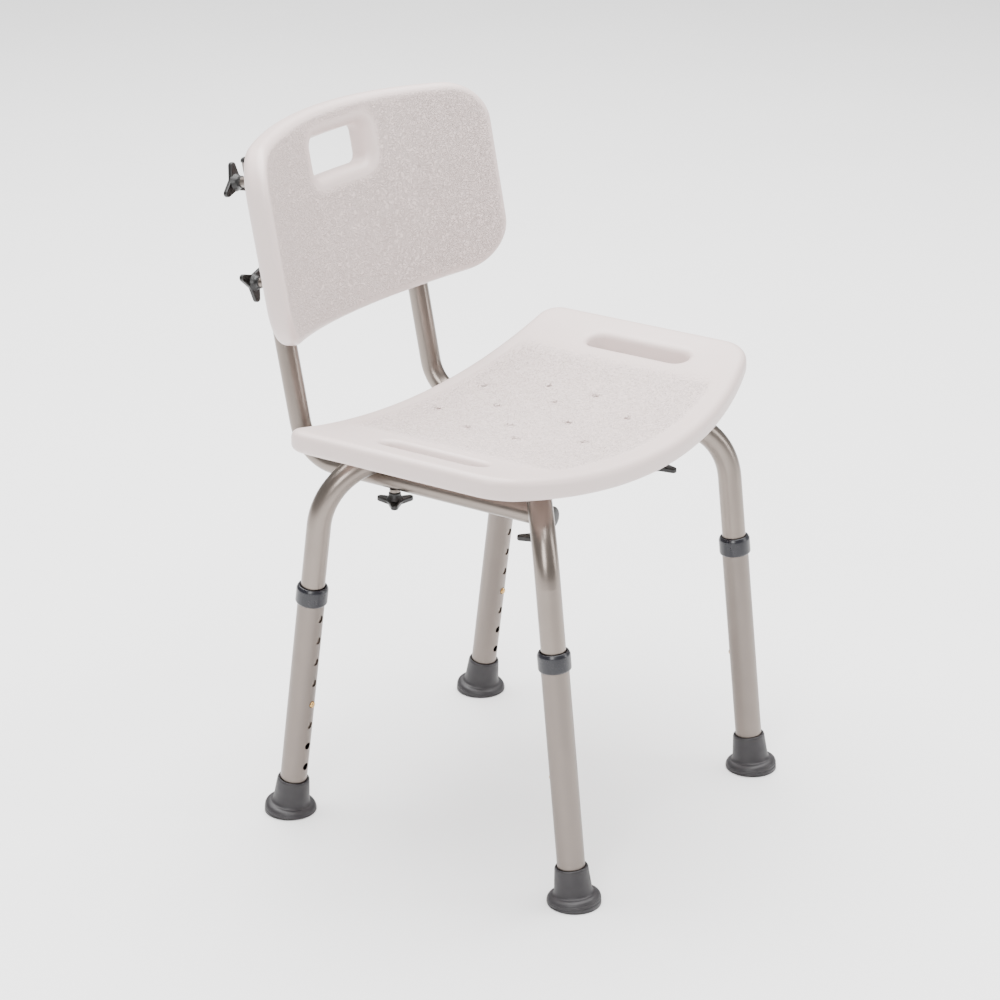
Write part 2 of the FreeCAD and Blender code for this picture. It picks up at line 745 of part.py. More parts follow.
def make_leg_tube(leg):
    name = f"leg_tube_{leg}"
    body = make_body(name)
    sketch = make_sketch(body, "XZ_Plane", f"{name}_wall")
    tube_profile(sketch, D["leg_tube_radius"], D["leg_tube_wall"], D["leg_tube_bottom"], D["leg_tube_top"])
    revolve(body, sketch)
    holes = make_sketch(body, "XZ_Plane", f"{name}_holes")
    for step in range(-int(D["holes_below"].value), int(D["holes_above"].value) + 1):
        draw_circle(holes, D["hole_radius"], 0, D["button_height"] + D["hole_pitch"] * step)
    before = body.Shape.Volume
    feature = body.newObject("PartDesign::Pocket", f"{name}_hole_row")
    feature.Profile = holes
    bind(feature, "Length", D["leg_tube_radius"] + 1)
    feature.Reversed = True
    doc.recompute()
    assert body.Shape.Volume < before - 1, f"{name} has no holes"
    body.Placement = LEGS[leg][2]
    return body


def make_collar(leg):
    name = f"leg_collar_{leg}"
    body = make_body(name)
    sketch = make_sketch(body, "XZ_Plane", f"{name}_profile")
    tube = D["leg_tube_radius"] + 0.05
    bore = D["frame_tube_radius"] + D["gap"]
    outside = D["collar_radius"]
    low = D["collar_bottom"]
    high = low + D["collar_height"]
    lip = D["leg_tube_top"] + 0.05
    points = [(tube, low), (outside - 0.6, low), (outside, low + 1.2), (outside, high - 2.4)]
    points += [(outside - 1.8, high), (bore, high), (bore, lip), (tube, lip)]
    draw_polygon(sketch, points)
    revolve(body, sketch)
    body.Placement = LEGS[leg][2]
    return body


def make_foot(leg):
    """A rubber foot, its sole cut level with the floor."""
    name = f"foot_{leg}"
    body = make_body(f"{name}_blank")
    sketch = make_sketch(body, "XZ_Plane", f"{name}_profile")
    bore = D["leg_tube_radius"] + 0.05
    seat = D["leg_tube_bottom"] - 0.05
    flange, thick = D["foot_flange_radius"], D["foot_flange_height"]
    points = [(0, -6), (flange, -6), (flange, thick * 0.45), (flange - 1.6, thick * 0.75)]
    points += [(D["foot_waist_radius"] + 2, thick), (D["foot_waist_radius"], thick + 2.5)]
    points += [(D["foot_top_radius"], D["foot_height"] - 1), (D["foot_top_radius"] - 1, D["foot_height"])]
    points += [(bore, D["foot_height"]), (bore, seat), (0, seat)]
    draw_polygon(sketch, points)
    revolve(body, sketch)
    body.Placement = LEGS[leg][2]
    below = doc.addObject("Part::Box", f"{name}_floor")
    span = 120
    below.Length = span
    below.Width = span
    below.Height = span
    foot = LEGS[leg][0]
    below.Placement = Placement(Vector(foot.x - span / 2, foot.y - span / 2, -span), Rotation())
    return cut(name, body, [below])


def make_button(leg):
    """A domed button on a wider base that bears against the inside of the frame tube."""
    name = f"leg_button_{leg}"
    body = make_body(name)
    sketch = make_sketch(body, "XZ_Plane", f"{name}_profile")
    base = D["frame_tube_radius"] - D["frame_tube_wall"] - 1.2
    radius, tip = D["button_radius"], D["button_reach"]
    points = [(0, base - 1), (radius + 1, base - 1), (radius + 1, base), (radius, base)]
    points += [(radius, tip - 2), (radius * 0.86, tip - 1), (radius * 0.5, tip - 0.25), (0, tip)]
    draw_polygon(sketch, points)
    revolve(body, sketch)
    outward = Rotation(Vector(0, 0, 1), Vector(0, -1, 0))
    here = Placement(Vector(0, 0, float(D["button_height"])), outward)
    body.Placement = LEGS[leg][2].multiply(here)
    return body


def make_button_spring(leg):
    """A strip of spring steel bent to a V; one arm carries the button, the other bears on the tube."""
    name = f"button_spring_{leg}"
    body = make_body(name)
    sketch = make_sketch(body, "YZ_Plane", f"{name}_shape")
    bore = float(D["frame_tube_radius"] - D["frame_tube_wall"])
    front = -(bore - 2.4)
    rear = bore - 1.4
    low = float(D["button_height"]) - 12
    high = low + 52
    strip = 0.5
    points = [(front, low), (front, low + 24), (-strip, high), (strip, high), (rear, low + 8)]
    points += [(rear - strip * 1.1, low + 8), (0, high - 3)]
    points += [(front + strip, low + 24), (front + strip, low)]
    draw_polygon(sketch, points)
    pad(body, sketch, 7, middle=True)
    body.Placement = LEGS[leg][2]
    return body


# ---- hand knobs ------------------------------------------------------------------------------------


def draw_lobe(sketch):
    """One lobe: sides tangent to a wide circle round the hub and to the small circle of the tip."""
    root, tip = float(D["knob_root_radius"]), float(D["knob_lobe_radius"])
    reach = float(D["knob_lobe_reach"])
    slope = math.asin((root - tip) / reach)
    root_x, root_y = root * math.cos(slope), root * math.sin(slope)
    tip_x, tip_y = tip * math.cos(slope), reach + tip * math.sin(slope)
    points = [(-tip_x, tip_y), (-root_x, root_y), (0, 0), (root_x, root_y), (tip_x, tip_y)]
    edges = []
    for (x0, y0), (x1, y1) in zip(points, points[1:]):
        edges.append(sketch.addGeometry(Part.LineSegment(Vector(x0, y0, 0), Vector(x1, y1, 0)), False))
    circle = Part.Circle(Vector(0, reach, 0), Vector(0, 0, 1), tip)
    edges.append(sketch.addGeometry(Part.ArcOfCircle(circle, slope, math.pi - slope), False))
    for edge, following in zip(edges[:3], edges[1:4]):
        sketch.addConstraint(Sketcher.Constraint("Coincident", edge, 2, following, 1))
    left, low_left, low_right, right, end = edges
    sketch.addConstraint(Sketcher.Constraint("Tangent", right, 2, end, 1))
    sketch.addConstraint(Sketcher.Constraint("Tangent", end, 2, left, 1))
    fix_point(sketch, low_right, 1, 0, 0)
    fix_point(sketch, end, 3, 0, D["knob_lobe_reach"])
    radius = D["knob_root_radius"]
    for edge, position in ((low_right, 2), (low_left, 1)):
        at = sketch.addConstraint(Sketcher.Constraint("Distance", -1, 1, edge, position, float(radius)))
        sketch.setExpression(f"Constraints[{at}]", radius.text)
    at = sketch.addConstraint(Sketcher.Constraint("Radius", end, tip))
    sketch.setExpression(f"Constraints[{at}]", D["knob_lobe_radius"].text)
    sketch.addConstraint(Sketcher.Constraint("Perpendicular", low_right, right))
    sketch.addConstraint(Sketcher.Constraint("Perpendicular", low_left, left))


def make_knob(name, placement):
    """A three-lobed hand knob. Local Z points from the lobes towards the clamped tube."""
    body = make_body(name)
    lobe = make_sketch(body, "XY_Plane", f"{name}_lobe")
    draw_lobe(lobe)
    lobe_pad = pad(body, lobe, D["knob_lobe_thickness"], name=f"{name}_lobe_pad")
    pattern = body.newObject("PartDesign::PolarPattern", f"{name}_lobes")
    pattern.Originals = [lobe_pad]
    pattern.Axis = (lobe, ["N_Axis"])
    pattern.Angle = 360
    pattern.Occurrences = 3
    body.Tip = pattern
    doc.recompute()
    round_edges(body, 3, lambda edge: is_upright(edge) and is_inside_corner(edge), f"{name}_crotches")

    def rim(edge):
        height = float(D["knob_lobe_thickness"])
        middle = edge.CenterOfMass.z
        return edge.BoundBox.ZLength < 0.01 and min(abs(middle), abs(middle - height)) < 0.01

    round_edges(body, 1.3, rim, f"{name}_rims")
    hub = make_sketch(body, "XZ_Plane", f"{name}_hub")
    radius, top = D["knob_hub_radius"], D["knob_height"]
    flare, lobes = D["knob_flare_radius"], D["knob_lobe_thickness"]
    neck = lobes + D["knob_flare_height"]
    profile = [(0, 0), (flare - 2, 0), (flare, lobes * 0.8)]
    profile += [(radius + 0.7, lobes + D["knob_flare_height"] * 0.6), (radius, neck)]
    profile += [(radius, top - 1.2), (radius - 1.2, top), (0, top)]
    draw_polygon(hub, profile)
    revolve(body, hub, name=f"{name}_hub_turned")
    bore = make_sketch(body, "XY_Plane", f"{name}_bore")
    draw_circle(bore, D["stud_radius"] + 0.02)
    pocket_through(body, bore, f"{name}_stud_hole")
    body.Placement = placement
    return body


def is_inside_corner(edge):
    """Whether an upright edge is where two lobes meet, nearer the hub than a lobe's tip."""
    middle = edge.CenterOfMass
    return math.hypot(middle.x, middle.y) < float(D["knob_root_radius"]) + 2


def make_stud(name, placement, length):
    """The threaded stud moulded into a knob, with its end flush in the knob."""
    stud = cylinder(name, D["stud_radius"], length, placement)
    stud.Label = name
    return stud


def seat_knob_place(place, turn):
    """The knob under one crossing, its lobes down."""
    washer = float(D["knob_washer_height"] + D["knob_height"] + D["gap"])
    z = BACK_TUBE_Z - float(D["back_tube_radius"]) - washer
    point = Vector(KNOB_POINTS[place].x, KNOB_POINTS[place].y, z)
    return Placement(point, Rotation(Vector(0, 0, 1), turn))


def back_knob_place(side, level, turn):
    """The knob behind one back tube, its lobes to the rear."""
    point = back_knob_point(side, level)
    out = rear_normal()
    tube_gap = distance_to_tube(side, level)
    washer = float(D["back_washer_height"] + D["knob_height"] + D["gap"])
    base = point + out * (tube_gap + float(D["back_tube_radius"]) + washer)
    turned = Rotation(Vector(0, 0, 1), -out).multiply(Rotation(Vector(0, 0, 1), turn))
    return Placement(base, turned)


def distance_to_tube(side, level):
    """From the panel's rear face to the back tube's axis, along a backrest stud."""
    point = back_knob_point(side, level)
    on_axis = back_tube_axis(side, point.z)
    return (on_axis - point).dot(rear_normal())


def ring(point, direction, radius, height):
    """A flat ring round a stud, standing on a point, as a plain shape."""
    disc = Part.makeCylinder(float(radius), float(height), point, direction)
    start = point - direction * float(height)
    bore = float(D["stud_radius"] + D["gap"])
    return disc.cut(Part.makeCylinder(bore, float(height) * 3, start, direction))


def insert_ring(point, direction):
    """A threaded insert that reaches from a point into its panel, as a plain shape."""
    length = float(D["insert_length"])
    body = Part.makeCylinder(float(D["insert_radius"] - 0.05), length, point, direction)
    start = point - direction * length
    bore = Part.makeCylinder(float(D["stud_radius"] + 0.05), length * 3, start, direction)
    return body.cut(bore)


def make_group(name, shapes):
    """Identical small pieces as separate solids of one node."""
    group = doc.addObject("Part::Feature", name)
    group.Shape = Part.makeCompound(shapes)
    group.Label = name
    group.Placement = Placement()
    return group


def tube_skin(side, level):
    """Where a backrest stud leaves the rear of the back tube."""
    distance = distance_to_tube(side, level) + float(D["back_tube_radius"] + D["gap"] * 0.5)
    return back_knob_point(side, level) + rear_normal() * distance


def make_rings():
    """The washers under the seat knobs and behind the back tubes."""
    washer = D["knob_washer_radius"]
    skin = BACK_TUBE_Z - float(D["back_tube_radius"] + D["gap"] * 0.5)
    under = []
    for point in KNOB_POINTS.values():
        start = Vector(point.x, point.y, skin)
        under.append(ring(start, Vector(0, 0, -1), washer, D["knob_washer_height"]))
    behind = []
    for side in (-1, 1):
        for level in back_knob_heights():
            behind.append(ring(tube_skin(side, level), rear_normal(), washer, D["back_washer_height"]))
    return [make_group("seat_knob_washers", under), make_group("back_knob_washers", behind)]


def make_inserts():
    up = Vector(0, 0, 1)
    seat = [insert_ring(Vector(p.x, p.y, INSERT_BASE), up) for p in KNOB_POINTS.values()]
    back = []
    for side in (-1, 1):
        for level in back_knob_heights():
            start = back_knob_point(side, level) - rear_normal() * float(D["gap"] * 0.5)
            back.append(insert_ring(start, -rear_normal()))
    return [make_group("seat_inserts", seat), make_group("backrest_inserts", back)]


def make_cross_rivet():
    """The rivet through both leg frames where they cross, with a head at each end."""
    middle = crossing("rear_left", "front_right", 0)
    clear = float(D["gap"] * 0.5)
    radius, head = float(D["rivet_head_radius"]), float(D["rivet_head_height"])
    top = float(D["frame_tube_radius"]) + clear
    bottom = -float(D["cross_dip"] + D["frame_tube_radius"]) - clear
    foot = middle + Vector(0, 0, bottom - head / 2)
    shank = Part.makeCylinder(float(D["stud_radius"]), top - bottom + head, foot)
    heads = [
        Part.makeCylinder(radius, head, middle + Vector(0, 0, top)),
        Part.makeCylinder(radius, head, middle + Vector(0, 0, bottom - head)),
    ]
    feature = doc.addObject("Part::Feature", "cross_rivet")
    feature.Shape = shank.fuse(heads).removeSplitter()
    feature.Label = "cross_rivet"
    feature.Placement = Placement()
    return feature


# ---- the whole chair -------------------------------------------------------------------------------


def build():
    parts = [make_seat(), make_backrest()]
    parts.append(make_leg_frame("leg_frame_high", "rear_left", "front_right", dips=False))
    parts.append(make_leg_frame("leg_frame_low", "front_left", "rear_right", dips=True))
    parts.append(make_cross_rivet())
    for word, side in (("left", -1), ("right", 1)):
        name = f"back_tube_{word}"
        parts.append(make_back_tube(name, side, [f"rear_{word}", f"front_{word}"]))
        front = Vector(side * float(D["back_tube_x"]), float(D["back_tube_front_y"]), BACK_TUBE_Z)
        parts.append(make_tube_cap(f"front_cap_{word}", along(front, Vector(0, -1, 0))))
        top = back_tube_top(side)
        parts.append(make_tube_cap(f"top_cap_{word}", along(top, top - back_tube_axis(side, 0))))
    for leg in LEGS:
        parts += [make_leg_tube(leg), make_collar(leg), make_foot(leg)]
        parts += [make_button(leg), make_button_spring(leg)]
    turns = {"rear_left": 124, "front_left": 34, "front_right": 56, "rear_right": 40}
    for place, turn in turns.items():
        place_of = seat_knob_place(place, turn)
        parts.append(make_knob(f"seat_knob_{place}", place_of))
        reach = INSERT_BASE - place_of.Base.z + float(D["stud_bite"])
        start = place_of.Base + Vector(0, 0, 4)
        parts.append(make_stud(f"seat_stud_{place}", along(start, Vector(0, 0, 1)), reach - 4))
    spins = {("left", "upper"): 0, ("left", "lower"): 180, ("right", "upper"): 30, ("right", "lower"): 80}
    for (word, level), turn in spins.items():
        side = -1 if word == "left" else 1
        place_of = back_knob_place(side, level, turn)
        parts.append(make_knob(f"back_knob_{word}_{level}", place_of))
        inward = -rear_normal()
        start = place_of.Base + inward * 4
        reach = (back_knob_point(side, level) - start).dot(inward) + float(D["stud_bite"])
        parts.append(make_stud(f"back_stud_{word}_{level}", along(start, inward), reach))
    parts += make_rings()
    parts += make_inserts()
    return parts


def check(parts):
    doc.recompute()
    for thing in doc.Objects:
        bad = {"Invalid", "Error"} & set(thing.State)
        assert not bad, f"{thing.Label} is {bad}"
    for part in parts:
        assert not part.Shape.isNull(), f"{part.Label} is empty"
        assert part.Shape.isValid(), f"{part.Label} is not a valid shape"
        assert part.Shape.Solids, f"{part.Label} has no solid"
    labels = [part.Label for part in parts]
    assert len(set(labels)) == len(labels), "two pieces share a name"


def write(parts):
    os.makedirs("parts", exist_ok=True)
    for part in parts:
        part.Shape.exportStep(os.path.join("parts", f"{part.Label}.step"))


PARTS = build()
check(PARTS)
write(PARTS)
print(len(PARTS), "sub-parts written")
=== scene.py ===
import json
import math
import bmesh
import bpy
import numpy as np
from mathutils import Matrix, Vector
from mathutils.geometry import delaunay_2d_cdt


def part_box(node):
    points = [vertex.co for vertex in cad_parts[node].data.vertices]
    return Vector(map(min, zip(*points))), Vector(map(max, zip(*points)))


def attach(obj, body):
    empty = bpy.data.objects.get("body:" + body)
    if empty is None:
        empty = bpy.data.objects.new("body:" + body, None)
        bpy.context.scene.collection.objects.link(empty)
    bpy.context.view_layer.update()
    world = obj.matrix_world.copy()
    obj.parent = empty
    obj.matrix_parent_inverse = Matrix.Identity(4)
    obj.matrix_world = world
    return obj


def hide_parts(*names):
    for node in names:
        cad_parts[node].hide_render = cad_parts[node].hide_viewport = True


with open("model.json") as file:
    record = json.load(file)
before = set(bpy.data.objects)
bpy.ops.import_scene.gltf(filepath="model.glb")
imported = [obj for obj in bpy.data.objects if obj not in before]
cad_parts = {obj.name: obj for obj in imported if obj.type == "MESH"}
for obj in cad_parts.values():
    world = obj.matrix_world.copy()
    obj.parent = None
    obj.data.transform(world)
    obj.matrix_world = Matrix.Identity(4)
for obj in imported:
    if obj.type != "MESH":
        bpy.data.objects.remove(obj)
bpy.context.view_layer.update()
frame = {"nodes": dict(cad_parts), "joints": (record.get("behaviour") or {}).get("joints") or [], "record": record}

MM = 0.001
RECORD = frame["record"]
LEGS = ("rear_left", "rear_right", "front_left", "front_right")
SOLES = {m["name"][len("sole_"):]: Vector(m["pos_m"]) for m in RECORD["mounts"]}


def joint_axes(start):
    """The axis of every joint whose name begins with a word, by the rest of its name."""
    joints = [joint for joint in frame["joints"] if joint["name"].startswith(start)]
    return {joint["name"][len(start):]: Vector(joint["axis"]) for joint in joints}


LEG_AXES = joint_axes("leg_height_")
BUTTON_AXES = joint_axes("button_press_")

# ---- sizes of the pieces that are made again here, in millimetres, as in the CAD model ----------------

# Roundings are pairs: on the face that shows, and on the hidden face.
SEAT_HALF_WIDTH = 244
SEAT_BACK, SEAT_CORNER, SEAT_FRONT = 88, -169, -217
SEAT_THICKNESS, SEAT_MID_Z, SEAT_RADIUS = 23, 423.5, 980
SEAT_CORNER_RADII = (24, 24, 42, 42)
SEAT_ROUND = (9.5, 7)
SLOT_X, SLOT_Y, SLOT_LENGTH, SLOT_WIDTH = 192, -60, 124, 26
SLOT_ROUND = (6.5, 4)
DRAIN_MID_Y, DRAIN_PITCH, DRAIN_RADIUS = -50, 89, 3
DRAIN_INNER_X, DRAIN_OUTER_X, DRAIN_OUTER_Y = 42, 76, 29
DRAIN_ROUND = (2.6, 1)
CROSS_Z, CHANNEL_RADIUS = 405, 12.95

BACK_HALF_WIDTH = 199
BACK_LOW, BACK_HIGH, BACK_CROWN, BACK_BELLY = -109.5, 88, 19, 4.5
BACK_THICKNESS, BACK_RADIUS = 26, 363
BACK_MID_Y, BACK_MID_Z, BACK_TILT = 194.2, 620, math.radians(11)
BACK_CORNER_RADII = (52, 52, 49, 49)
BACK_ROUND = (10, 9)
HAND_HOLE_HALF, HAND_HOLE_LOW, HAND_HOLE_HIGH = 46, 36, 77
HAND_HOLE_CORNER, HAND_HOLE_ROUND = 9, (12, 5)

# How far apart points are set: along a panel's rim, along its larger holes, and over its faces.
RIM_SPACING, HOLE_SPACING, FACE_SPACING = 5, 3.5, 6

# The grain begins at the first distance and is full at the second, in from a rim or out from the hand hole.
SEAT_GRAIN_EDGE, BACK_GRAIN_EDGE, BACK_GRAIN_HOLE = (20, 30), (5, 12), (12, 20)
# To each side of the seat's centre line it is full up to the first distance and gone at the second.
SEAT_GRAIN_SIDE = (140, 172)
# The grained part of the seat is sunk by the recess. The grain reaches this deep below a show face.
SEAT_RECESS, GRAIN_DEPTH = 0.7, 3

# Heights above the sole, measured along a leg.
COLLAR_LOW, COLLAR_HIGH, COLLAR_STOP, BUTTON_HEIGHT = 251.5, 271.5, 269.05, 134.6
# How far a cap's head stands out of its tube, and how far inside it the cap's middle is.
CAP_HEAD, CAP_MIDDLE = 5, 2


# ---- small mesh helpers -------------------------------------------------------------------------------


def mesh_object(name, verts, faces, smooth_below=40):
    """A mesh object with outward normals and smooth shading across edges flatter than an angle."""
    mesh = bpy.data.meshes.new(name)
    mesh.from_pydata([tuple(v) for v in verts], [], faces)
    bm = bmesh.new()
    bm.from_mesh(mesh)
    bmesh.ops.recalc_face_normals(bm, faces=bm.faces)
    bm.to_mesh(mesh)
    bm.free()
    mesh.shade_smooth()
    mesh.set_sharp_from_angle(angle=math.radians(smooth_below))
    piece = bpy.data.objects.new(name, mesh)
    bpy.context.scene.collection.objects.link(piece)
    return piece


def finish_piece(piece, body, node, material):
    """Paint a piece, hang it on the body that carries it, and hide the CAD node it stands for."""
    piece.data.materials.clear()
    piece.data.materials.append(material)
    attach(piece, body)
    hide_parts(node)


def soften(points, radius, steps=5):
    """A polyline with its inner corners rounded."""
    points = [Vector(p) for p in points]
    out = [points[0]]
    for before, corner, after in zip(points, points[1:], points[2:]):
        reach = min(radius, (corner - before).length * 0.48, (after - corner).length * 0.48)
        start = corner + (before - corner).normalized() * reach
        end = corner + (after - corner).normalized() * reach
        for n in range(steps + 1):
            u = n / steps
            out.append(start * (1 - u) ** 2 + corner * (2 * u * (1 - u)) + end * u**2)
    out.append(points[-1])
    return out


def lathe(name, profile, matrix, segments=72):
    """A turned piece. The profile is (radius, height) in millimetres, from axis to axis or closed."""
    closed = (Vector(profile[0]) - Vector(profile[-1])).length < 1e-6
    rows = profile[:-1] if closed else profile
    verts, rings = [], []
    for radius, height in rows:
        if radius < 1e-6:
            rings.append([len(verts)] * segments)
            verts.append(Vector((0, 0, height)))
            continue
        rings.append(range(len(verts), len(verts) + segments))
        for n in range(segments):
            angle = 2 * math.pi * n / segments
            verts.append(Vector((radius * math.cos(angle), radius * math.sin(angle), height)))
    faces = []
    pairs = list(zip(rings, rings[1:]))
    if closed:
        pairs.append((rings[-1], rings[0]))
    for low, high in pairs:
        for n in range(segments):
            m = (n + 1) % segments
            face = list(dict.fromkeys((low[n], low[m], high[m], high[n])))
            if len(face) > 2:
                faces.append(face)
    placed = [matrix @ (v * MM) for v in verts]
    return mesh_object(name, placed, faces)


def standing(point, axis):
    """A matrix that puts local Z along an axis, at a point."""
    return Matrix.Translation(point) @ axis.to_track_quat("Z", "Y").to_matrix().to_4x4()


# ---- moulded panels -----------------------------------------------------------------------------------

EDGE_STEPS, CORNER_STEPS = 160, 60


def edge_points(start, stop, bow):
    """A dense run from start to stop: straight, or an arc whose middle is at height bow."""
    (x0, y0), (x1, y1) = start, stop
    u = np.linspace(0, 1, EDGE_STEPS)
    if bow is None:
        return np.column_stack([x0 + (x1 - x0) * u, y0 + (y1 - y0) * u])
    half, rise = abs(x1 - x0) / 2, bow - y0
    radius = (half**2 + rise**2) / (2 * abs(rise))
    centre = bow - math.copysign(radius, rise)
    begin, end = math.atan2(y0 - centre, x0), math.atan2(y1 - centre, x1)
    if end < begin:
        end += 2 * math.pi
    angle = begin + (end - begin) * u
    return np.column_stack([radius * np.cos(angle), centre + radius * np.sin(angle)])


def trimmed(points, first, last):
    """A run with a length cut from each end."""
    length = np.concatenate([[0], np.cumsum(np.linalg.norm(np.diff(points, axis=0), axis=1))])
    at = np.linspace(first, length[-1] - last, len(points))
    return np.column_stack([np.interp(at, length, points[:, k]) for k in (0, 1)])


def outline(corners, radii, bows, spacing):
    """A closed anticlockwise outline with rounded corners: its points and their outward normals."""
    runs = [edge_points(a, b, bow) for a, b, bow in zip(corners, corners[1:] + corners[:1], bows)]
    turns, cuts = [], []
    for index, radius in enumerate(radii):
        arriving = runs[index - 1][-1] - runs[index - 1][-2]
        leaving = runs[index][1] - runs[index][0]
        turn = math.atan2(leaving[1], leaving[0]) - math.atan2(arriving[1], arriving[0])
        turns.append(turn % (2 * math.pi))
        cuts.append(radius * math.tan(turns[-1] / 2))
    runs = [trimmed(run, cuts[n], cuts[(n + 1) % len(cuts)]) for n, run in enumerate(runs)]
    whole = []
    for index, run in enumerate(runs):
        before = runs[index - 1]
        start, end = before[-1], run[0]
        handle = 4 / 3 * math.tan(turns[index] / 4) * radii[index]
        first = start + (start - before[-2]) / np.linalg.norm(start - before[-2]) * handle
        second = end - (run[1] - end) / np.linalg.norm(run[1] - end) * handle
        u = np.linspace(0, 1, CORNER_STEPS)[1:-1, None]
        near = start * (1 - u) ** 3 + first * (3 * u * (1 - u) ** 2)
        whole.append(near + second * (3 * u**2 * (1 - u)) + end * u**3)
        whole.append(run)
    return evenly(np.vstack(whole), spacing)


def evenly(points, spacing):
    """A closed outline stepped at an even spacing, with outward normals."""
    closed = np.vstack([points, points[:1]])
    length = np.concatenate([[0], np.cumsum(np.linalg.norm(np.diff(closed, axis=0), axis=1))])
    count = max(20, round(length[-1] / spacing))
    at = np.linspace(0, length[-1], count, endpoint=False)
    ring = np.column_stack([np.interp(at, length, closed[:, k]) for k in (0, 1)])
    along = np.roll(ring, -1, axis=0) - np.roll(ring, 1, axis=0)
    along /= np.linalg.norm(along, axis=1)[:, None]
    return ring, np.column_stack([along[:, 1], -along[:, 0]])


def slot_outline(x, y, width, length, spacing):
    """A slot with round ends, longer along Y."""
    half, reach = width / 2, length / 2
    corners = [(x + half, y + reach), (x - half, y + reach), (x - half, y - reach), (x + half, y - reach)]
    return outline(corners, [half - 0.01] * 4, [None] * 4, spacing)


def circle_outline(x, y, radius, count=24):
    """A round hole's outline: its points and their outward normals."""
    angle = np.linspace(0, 2 * math.pi, count, endpoint=False)
    normal = np.column_stack([np.cos(angle), np.sin(angle)])
    return np.array([x, y]) + normal * radius, normal


def rim_profile(half, show, hidden, steps=7):
    """How far in from its outline, and at what depth, a panel's rounded edge runs, from face to face."""
    turn = np.linspace(0, math.pi / 2, steps + 1)
    upper = [(show * (1 - math.sin(a)), half - show * (1 - math.cos(a))) for a in turn]
    lower = [(hidden * (1 - math.cos(a)), -half + hidden * (1 - math.sin(a))) for a in turn]
    middle = [(0, (upper[-1][1] + lower[0][1]) / 2)]
    return upper + middle + lower


def inside(points, ring):
    """Which points lie in a closed ring."""
    x, y = points[:, 0][:, None], points[:, 1][:, None]
    x0, y0 = ring[:, 0], ring[:, 1]
    x1, y1 = np.roll(x0, -1), np.roll(y0, -1)
    spans = (y0 > y) != (y1 > y)
    rise = np.where(y1 == y0, 1e-9, y1 - y0)
    crosses = spans & (x < (x1 - x0) * (y - y0) / rise + x0)
    return crosses.sum(axis=1) % 2 == 1


def nearest(points, ring):
    """Each point's distance from the nearest point of a ring."""
    best = np.full(len(points), 1e9)
    for part in np.array_split(ring, max(1, len(ring) // 64)):
        gap = np.linalg.norm(points[:, None, :] - part[None, :, :], axis=2).min(axis=1)
        best = np.minimum(best, gap)
    return best


def flat_face(rings, spacing):
    """A face between an outer ring and hole rings: its extra inner points, and its triangles.

    Triangles number the rings' points in turn and then the extra points.
    """
    outer, holes = rings[0], rings[1:]
    low, high = outer.min(axis=0), outer.max(axis=0)
    rows = np.arange(low[1], high[1], spacing * 0.866)
    grid = []
    for n, y in enumerate(rows):
        xs = np.arange(low[0] + (n % 2) * spacing / 2, high[0], spacing)
        grid.append(np.column_stack([xs, np.full(len(xs), y)]))
    grid = np.vstack(grid)
    keep = inside(grid, outer)
    for hole in holes:
        keep &= ~inside(grid, hole)
    grid = grid[keep]
    grid = grid[nearest(grid, np.vstack(rings)) > spacing * 0.55]
    points = np.vstack(rings + [grid])
    edges, base = [], 0
    for ring in rings:
        count = len(ring)
        edges += [(base + n, base + (n + 1) % count) for n in range(count)]
        base += count
    result = delaunay_2d_cdt([Vector(p) for p in points], edges, [], 0, 1e-5)
    originals = [source[0] for source in result[3]]
    triangles = np.array([[originals[v] for v in face] for face in result[2]])
    centres = points[triangles].mean(axis=1)
    keep = inside(centres, outer)
    for hole in holes:
        keep &= ~inside(centres, hole)
    return grid, triangles[keep]


def moulded_panel(name, thickness, outer, holes, bend, shape, grain):
    """A moulded panel with a rounded rim and holes, bent to its curve.

    outer and each of holes is an outline and its pair of roundings.
    bend takes flat places and depths to where they are. shape moves the show face in or out.
    grain says how strongly each flat place is textured.
    """
    half = thickness / 2
    flat, faces, show_rings, hidden_rings = [], [], [], []
    for number, ((ring, normal), (show, hidden)) in enumerate([outer] + holes):
        way = -1 if number == 0 else 1
        profile = rim_profile(half, show, hidden)
        levels = []
        for inset, depth in profile:
            levels.append(range(len(flat), len(flat) + len(ring)))
            place = ring + normal * way * inset
            flat += [(x, y, depth) for x, y in place]
        for upper, lower in zip(levels, levels[1:]):
            count = len(ring)
            for n in range(count):
                after = (n + 1) % count
                faces.append([upper[n], upper[after], lower[after], lower[n]])
        show_rings.append((levels[0], ring + normal * way * show))
        hidden_rings.append((levels[-1], ring + normal * way * hidden))
    for rings, depth in ((show_rings, half), (hidden_rings, -half)):
        grid, triangles = flat_face([ring for _, ring in rings], FACE_SPACING)
        numbers = [v for level, _ in rings for v in level]
        numbers += list(range(len(flat), len(flat) + len(grid)))
        flat += [(x, y, depth) for x, y in grid]
        faces += [[numbers[v] for v in triangle] for triangle in triangles]
    flat = np.array(flat)
    textured = grain(flat[:, :2]) * (flat[:, 2] > half - GRAIN_DEPTH)
    flat[:, 2] += shape(flat[:, :2]) * (flat[:, 2] > half - 1e-6)
    piece = mesh_object(name, bend(flat) * MM, faces, smooth_below=60)
    mark_grain(piece, textured)
    return piece


def mark_grain(piece, strength):
    """Store how strongly each vertex is textured, for the panel material."""
    layer = piece.data.attributes.get("grain") or piece.data.attributes.new("grain", "FLOAT", "POINT")
    layer.data.foreach_set("value", strength.astype(np.float32))


def smooth_step(value, low, high):
    """Rises smoothly from 0 at low to 1 at high."""
    u = np.clip((value - low) / (high - low), 0, 1)
    return u * u * (3 - 2 * u)


